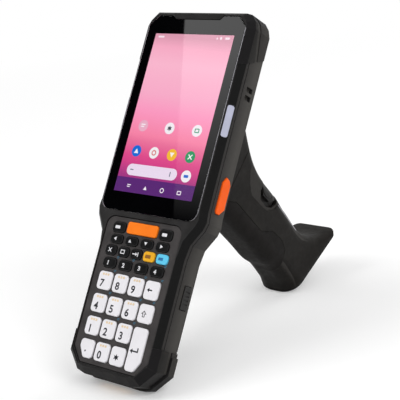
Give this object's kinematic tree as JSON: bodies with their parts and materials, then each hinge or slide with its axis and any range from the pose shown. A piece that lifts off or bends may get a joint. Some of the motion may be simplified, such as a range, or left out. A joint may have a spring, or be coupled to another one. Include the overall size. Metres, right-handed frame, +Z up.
{
  "type": "handheld data terminal",
  "caption": "Rugged handheld data terminal with a tall display, a keypad below it and a pistol grip with a trigger, standing on its lower end and grip heel.",
  "frame": {"origin": "middle of the footprint, on the table", "axes": "+X to the terminal's right, seen from the front; +Y to the back, where the grip is; +Z up. The terminal leans back on its lower end and the heel of the grip."},
  "size_m": [0.0778, 0.211, 0.1865],
  "materials": {
    "housing": "fine matte grain",
    "battery": "fine matte grain",
    "bumper": "soft matte",
    "bezel": "satin",
    "mat": "matte",
    "cover_glass": "polished",
    "display": "lit screen",
    "board": "lacquered",
    "latch": "fine matte grain",
    "orange_key": "satin",
    "white_key": "satin",
    "black_key": "satin",
    "yellow_key": "satin",
    "blue_key": "satin",
    "light_bar": "milky",
    "contacts": "matte, gilt pads",
    "engine": "matte",
    "window": "polished",
    "lens": "polished",
    "grip": "fine matte grain",
    "overmould": "soft matte",
    "trigger": "satin, ribbed",
    "pad": "matte",
    "steel": "bright"
  },
  "bodies": {
    "terminal": {"front_housing": "housing", "rear_housing": "housing", "top_bumper": "bumper", "bottom_bumper": "bumper", "touch_glass": "cover_glass", "display_panel": "display", "keypad_bezel": "bezel", "key_mat": "mat", "main_board": "board", "light_bars": "light_bar", "scan_engine": "engine", "scan_window": "window", "camera_lens": "lens", "dock_contacts": "contacts", "housing_screws": "steel", "grip_bracket": "grip", "grip_shell_left": "grip", "grip_shell_right": "grip", "grip_overmould": "overmould", "grip_screws": "steel", "trigger_pin": "steel", "trigger_spring": "steel", "base_pad": "pad"},
    "key_7": {"key_7": "white_key"},
    "key_8": {"key_8": "white_key"},
    "key_9": {"key_9": "white_key"},
    "key_back": {"key_back": "white_key"},
    "key_4": {"key_4": "white_key"},
    "key_5": {"key_5": "white_key"},
    "key_6": {"key_6": "white_key"},
    "key_shift": {"key_shift": "white_key"},
    "key_1": {"key_1": "white_key"},
    "key_2": {"key_2": "white_key"},
    "key_3": {"key_3": "white_key"},
    "key_point": {"key_point": "white_key"},
    "key_0": {"key_0": "white_key"},
    "key_star": {"key_star": "white_key"},
    "key_enter": {"key_enter": "white_key"},
    "key_f1": {"key_f1": "black_key"},
    "key_f2": {"key_f2": "black_key"},
    "key_f3": {"key_f3": "black_key"},
    "key_f4": {"key_f4": "black_key"},
    "key_escape": {"key_escape": "black_key"},
    "key_mode": {"key_mode": "black_key"},
    "key_tab": {"key_tab": "black_key"},
    "key_yellow": {"key_yellow": "yellow_key"},
    "key_blue": {"key_blue": "blue_key"},
    "key_left": {"key_left": "black_key"},
    "key_up": {"key_up": "black_key"},
    "key_down": {"key_down": "black_key"},
    "key_right": {"key_right": "black_key"},
    "key_menu": {"key_menu": "black_key"},
    "key_power": {"key_power": "black_key"},
    "key_scan": {"key_scan": "orange_key"},
    "scan_key_left": {"scan_key_left": "orange_key"},
    "battery_latch_left": {"battery_latch_left": "latch"},
    "scan_key_right": {"scan_key_right": "orange_key"},
    "battery_latch_right": {"battery_latch_right": "latch"},
    "battery_pack": {"battery_pack": "battery"},
    "trigger": {"trigger": "trigger"}
  },
  "joints": [
    {"name": "battery_release", "type": "slide", "parent": "terminal", "child": "battery_pack", "axis": [0, 0.8502, -0.5264], "range_m": [0, 0.012]},
    {"name": "trigger_pull", "type": "hinge", "parent": "terminal", "child": "trigger", "pos_m": [0, 0.02081, 0.08818], "axis": [-1, 0, 0], "range_deg": [0, 7], "stiffness_Nm_per_rad": 0.6, "deforming": ["trigger_spring"]},
    {"name": "battery_latch_left_press", "type": "slide", "parent": "terminal", "child": "battery_latch_left", "axis": [1, 0, 0], "range_m": [0, 0.0012], "stiffness_N_per_m": 800},
    {"name": "battery_latch_right_press", "type": "slide", "parent": "terminal", "child": "battery_latch_right", "axis": [-1, 0, 0], "range_m": [0, 0.0012], "stiffness_N_per_m": 800},
    {"name": "scan_key_left_press", "type": "slide", "parent": "terminal", "child": "scan_key_left", "axis": [1, 0, 0], "range_m": [0, 0.0008], "stiffness_N_per_m": 700},
    {"name": "scan_key_right_press", "type": "slide", "parent": "terminal", "child": "scan_key_right", "axis": [-1, 0, 0], "range_m": [0, 0.0008], "stiffness_N_per_m": 700},
    {"name": "key_7_press", "type": "slide", "parent": "terminal", "child": "key_7", "axis": [0, 0.8502, -0.5264], "range_m": [0, 0.0008], "stiffness_N_per_m": 600},
    {"name": "key_8_press", "type": "slide", "parent": "terminal", "child": "key_8", "axis": [0, 0.8502, -0.5264], "range_m": [0, 0.0008], "stiffness_N_per_m": 600},
    {"name": "key_9_press", "type": "slide", "parent": "terminal", "child": "key_9", "axis": [0, 0.8502, -0.5264], "range_m": [0, 0.0008], "stiffness_N_per_m": 600},
    {"name": "key_back_press", "type": "slide", "parent": "terminal", "child": "key_back", "axis": [0, 0.8502, -0.5264], "range_m": [0, 0.0008], "stiffness_N_per_m": 600},
    {"name": "key_4_press", "type": "slide", "parent": "terminal", "child": "key_4", "axis": [0, 0.8502, -0.5264], "range_m": [0, 0.0008], "stiffness_N_per_m": 600},
    {"name": "key_5_press", "type": "slide", "parent": "terminal", "child": "key_5", "axis": [0, 0.8502, -0.5264], "range_m": [0, 0.0008], "stiffness_N_per_m": 600},
    {"name": "key_6_press", "type": "slide", "parent": "terminal", "child": "key_6", "axis": [0, 0.8502, -0.5264], "range_m": [0, 0.0008], "stiffness_N_per_m": 600},
    {"name": "key_shift_press", "type": "slide", "parent": "terminal", "child": "key_shift", "axis": [0, 0.8502, -0.5264], "range_m": [0, 0.0008], "stiffness_N_per_m": 600},
    {"name": "key_1_press", "type": "slide", "parent": "terminal", "child": "key_1", "axis": [0, 0.8502, -0.5264], "range_m": [0, 0.0008], "stiffness_N_per_m": 600},
    {"name": "key_2_press", "type": "slide", "parent": "terminal", "child": "key_2", "axis": [0, 0.8502, -0.5264], "range_m": [0, 0.0008], "stiffness_N_per_m": 600},
    {"name": "key_3_press", "type": "slide", "parent": "terminal", "child": "key_3", "axis": [0, 0.8502, -0.5264], "range_m": [0, 0.0008], "stiffness_N_per_m": 600},
    {"name": "key_point_press", "type": "slide", "parent": "terminal", "child": "key_point", "axis": [0, 0.8502, -0.5264], "range_m": [0, 0.0008], "stiffness_N_per_m": 600},
    {"name": "key_0_press", "type": "slide", "parent": "terminal", "child": "key_0", "axis": [0, 0.8502, -0.5264], "range_m": [0, 0.0008], "stiffness_N_per_m": 600},
    {"name": "key_star_press", "type": "slide", "parent": "terminal", "child": "key_star", "axis": [0, 0.8502, -0.5264], "range_m": [0, 0.0008], "stiffness_N_per_m": 600},
    {"name": "key_enter_press", "type": "slide", "parent": "terminal", "child": "key_enter", "axis": [0, 0.8502, -0.5264], "range_m": [0, 0.0008], "stiffness_N_per_m": 600},
    {"name": "key_f1_press", "type": "slide", "parent": "terminal", "child": "key_f1", "axis": [0, 0.8502, -0.5264], "range_m": [0, 0.0008], "stiffness_N_per_m": 500},
    {"name": "key_f2_press", "type": "slide", "parent": "terminal", "child": "key_f2", "axis": [0, 0.8502, -0.5264], "range_m": [0, 0.0008], "stiffness_N_per_m": 500},
    {"name": "key_f3_press", "type": "slide", "parent": "terminal", "child": "key_f3", "axis": [0, 0.8502, -0.5264], "range_m": [0, 0.0008], "stiffness_N_per_m": 500},
    {"name": "key_f4_press", "type": "slide", "parent": "terminal", "child": "key_f4", "axis": [0, 0.8502, -0.5264], "range_m": [0, 0.0008], "stiffness_N_per_m": 500},
    {"name": "key_escape_press", "type": "slide", "parent": "terminal", "child": "key_escape", "axis": [0, 0.8502, -0.5264], "range_m": [0, 0.0008], "stiffness_N_per_m": 500},
    {"name": "key_mode_press", "type": "slide", "parent": "terminal", "child": "key_mode", "axis": [0, 0.8502, -0.5264], "range_m": [0, 0.0008], "stiffness_N_per_m": 500},
    {"name": "key_tab_press", "type": "slide", "parent": "terminal", "child": "key_tab", "axis": [0, 0.8502, -0.5264], "range_m": [0, 0.0008], "stiffness_N_per_m": 500},
    {"name": "key_yellow_press", "type": "slide", "parent": "terminal", "child": "key_yellow", "axis": [0, 0.8502, -0.5264], "range_m": [0, 0.0008], "stiffness_N_per_m": 500},
    {"name": "key_blue_press", "type": "slide", "parent": "terminal", "child": "key_blue", "axis": [0, 0.8502, -0.5264], "range_m": [0, 0.0008], "stiffness_N_per_m": 500},
    {"name": "key_left_press", "type": "slide", "parent": "terminal", "child": "key_left", "axis": [0, 0.8502, -0.5264], "range_m": [0, 0.0008], "stiffness_N_per_m": 500},
    {"name": "key_up_press", "type": "slide", "parent": "terminal", "child": "key_up", "axis": [0, 0.8502, -0.5264], "range_m": [0, 0.0008], "stiffness_N_per_m": 500},
    {"name": "key_down_press", "type": "slide", "parent": "terminal", "child": "key_down", "axis": [0, 0.8502, -0.5264], "range_m": [0, 0.0008], "stiffness_N_per_m": 500},
    {"name": "key_right_press", "type": "slide", "parent": "terminal", "child": "key_right", "axis": [0, 0.8502, -0.5264], "range_m": [0, 0.0008], "stiffness_N_per_m": 500},
    {"name": "key_menu_press", "type": "slide", "parent": "terminal", "child": "key_menu", "axis": [0, 0.8502, -0.5264], "range_m": [0, 0.0008], "stiffness_N_per_m": 500},
    {"name": "key_power_press", "type": "slide", "parent": "terminal", "child": "key_power", "axis": [0, 0.8502, -0.5264], "range_m": [0, 0.0008], "stiffness_N_per_m": 500},
    {"name": "key_scan_press", "type": "slide", "parent": "terminal", "child": "key_scan", "axis": [0, 0.8502, -0.5264], "range_m": [0, 0.0008], "stiffness_N_per_m": 600}
  ]
}
